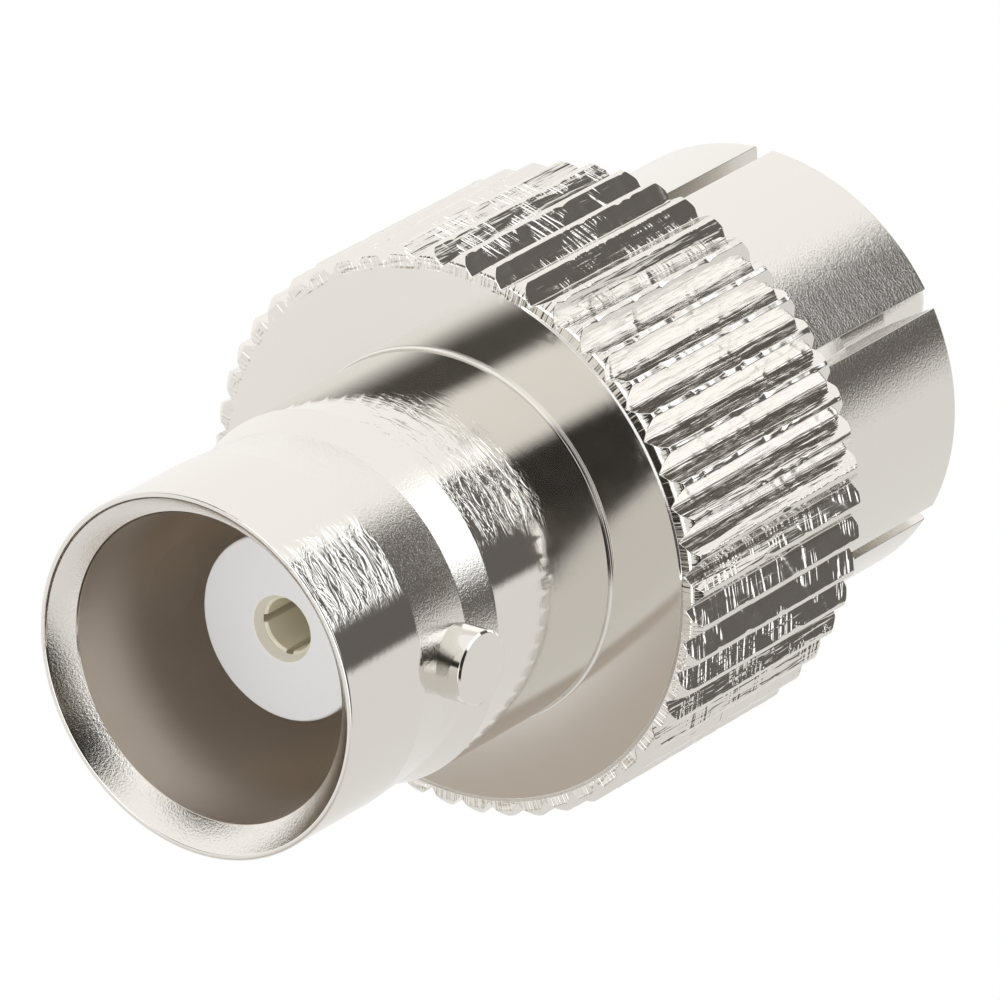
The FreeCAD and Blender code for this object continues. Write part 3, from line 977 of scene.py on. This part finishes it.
def studio_light(tree):
    """Colour of the light from each direction, as patches that are laid over a pale tent.

    The tent is darker on one side, with a warm card low down behind the adapter. A bright key panel
    faces it, with dark flags at its top and side. Low down are two dark patches, a grey one on the
    second, and a bright cap under the mouth.
    """
    direction = tree.nodes.new("ShaderNodeTexCoord").outputs["Generated"]
    facing = reach_along(tree, direction, FACING)
    beside = reach_along(tree, direction, BESIDE)
    rise = reach_along(tree, direction, UPWARD)
    turn = product(tree, calc(tree, "ARCTAN2", beside, facing), 180 / math.pi)
    key_turn = total(tree, turn, calc(tree, "MULTIPLY_ADD", rise, *KEY_SKEW))
    low_turn = total(tree, turn, calc(tree, "MULTIPLY_ADD", rise, *LOW_SKEW))
    tent = blend(tree, ramp(tree, beside, *TENT_BESIDE), TENT_COLOUR, TENT_BESIDE_COLOUR)
    card = product(tree, fall(tree, rise, *CARD_RISE), fall(tree, facing, *CARD_FACING),
                   ramp(tree, beside, *CARD_BESIDE))
    key = product(tree, window(tree, key_turn, *KEY_TURN), window(tree, rise, *KEY_RISE))
    top_flag = product(tree, window(tree, turn, *TOP_FLAG_TURN), ramp(tree, rise, *TOP_FLAG_RISE))
    side_flag = product(tree, window(tree, key_turn, *SIDE_FLAG_TURN), ramp(tree, rise, *SIDE_FLAG_RISE))
    left = product(tree, window(tree, turn, *LEFT_TURN), window(tree, rise, *LEFT_RISE))
    low = product(tree, window(tree, turn, *LOW_TURN), fall(tree, low_turn, *LOW_SKEW_TURN),
                  window(tree, rise, *LOW_RISE))
    middle = product(tree, window(tree, turn, *MIDDLE_TURN), window(tree, rise, *MIDDLE_RISE))
    light = tent
    for share, colour in (
        (card, CARD_COLOUR),
        (key, KEY_COLOUR),
        (calc(tree, "MAXIMUM", top_flag, side_flag), FLAG_COLOUR),
        (left, LEFT_COLOUR),
        (low, LOW_COLOUR),
        (middle, MIDDLE_COLOUR),
        (fall(tree, rise, *CAP_RISE), CAP_COLOUR),
    ):
        light = blend(tree, share, light, colour)
    return light


def make_studio():
    """The world: the studio's light for every ray but the camera's, which see plain white."""
    world = bpy.data.worlds.new("studio")
    bpy.context.scene.world = world
    world.use_nodes = True
    tree = world.node_tree
    studio = tree.nodes["Background"]
    link(tree, studio_light(tree), studio.inputs["Color"])
    studio.inputs["Strength"].default_value = 1.0
    plain = tree.nodes.new("ShaderNodeBackground")
    plain.inputs["Color"].default_value = BACKDROP_COLOUR
    mix = tree.nodes.new("ShaderNodeMixShader")
    link(tree, tree.nodes.new("ShaderNodeLightPath").outputs["Is Camera Ray"], mix.inputs[0])
    link(tree, studio.outputs[0], mix.inputs[1])
    link(tree, plain.outputs[0], mix.inputs[2])
    link(tree, mix.outputs[0], tree.nodes["World Output"].inputs["Surface"])


def floor_material():
    """Pale to camera rays from above, fading out with the distance, and clear to all other rays."""
    material = bpy.data.materials.new("floor")
    material.use_nodes = True
    tree = material.node_tree
    tree.nodes.remove(tree.nodes["Principled BSDF"])
    clear = tree.nodes.new("ShaderNodeBsdfTransparent")
    pale = tree.nodes.new("ShaderNodeBsdfDiffuse")
    pale.inputs["Color"].default_value = FLOOR_COLOUR
    front = calc(tree, "SUBTRACT", 1.0, tree.nodes.new("ShaderNodeNewGeometry").outputs["Backfacing"])
    seen = tree.nodes.new("ShaderNodeLightPath").outputs["Is Camera Ray"]
    place = tree.nodes.new("ShaderNodeTexCoord").outputs["Object"]
    away = vector_calc(tree, "LENGTH", place).outputs["Value"]
    near = fall(tree, away, FLOOR_FADE[0] * MM, FLOOR_FADE[1] * MM)
    mix = tree.nodes.new("ShaderNodeMixShader")
    link(tree, product(tree, front, seen, near), mix.inputs[0])
    link(tree, clear.outputs[0], mix.inputs[1])
    link(tree, pale.outputs[0], mix.inputs[2])
    link(tree, mix.outputs[0], tree.nodes["Material Output"].inputs["Surface"])
    return material


def make_floor():
    """A square floor just under the rim."""
    mesh = bpy.data.meshes.new("floor")
    square = np.array([(-1, -1, 0), (1, -1, 0), (1, 1, 0), (-1, 1, 0)])
    corners = square * FLOOR_REACH - (0, 0, FLOOR_DROP)
    mesh.from_pydata((corners * MM).tolist(), [], [(0, 1, 2, 3)])
    mesh.materials.append(floor_material())
    floor = bpy.data.objects.new("floor", mesh)
    bpy.context.scene.collection.objects.link(floor)


def main():
    """Makes the materials, the pieces and the studio."""
    bpy.context.scene.view_settings.view_transform = "Standard"
    place = place_group()
    turned_finish = turned_finish_group(place)
    knurl_finish = knurl_finish_group(place)
    lug_finish = lug_finish_group(place)
    plate = nickel_material("nickel plate", place, turned_finish, PLATE_ROUGHNESS)
    knurl_plate = nickel_material("nickel plate on the knurl", place, knurl_finish, KNURL_ROUGHNESS)
    lug_plate = nickel_material("nickel plate on the lugs", place, lug_finish, PLATE_ROUGHNESS)
    plastic = insulator_material(place)
    gold = gold_material()
    make_shell(plate)
    make_lug("bayonet_lug_1", 1, lug_plate)
    make_lug("bayonet_lug_2", -1, lug_plate)
    make_grip(knurl_plate)
    make_sleeve(plate)
    make_front_insulator(plastic)
    make_rear_insulator(plastic)
    make_contact(gold)
    make_pin(plate)
    make_studio()
    make_camera()
    make_floor()


main()
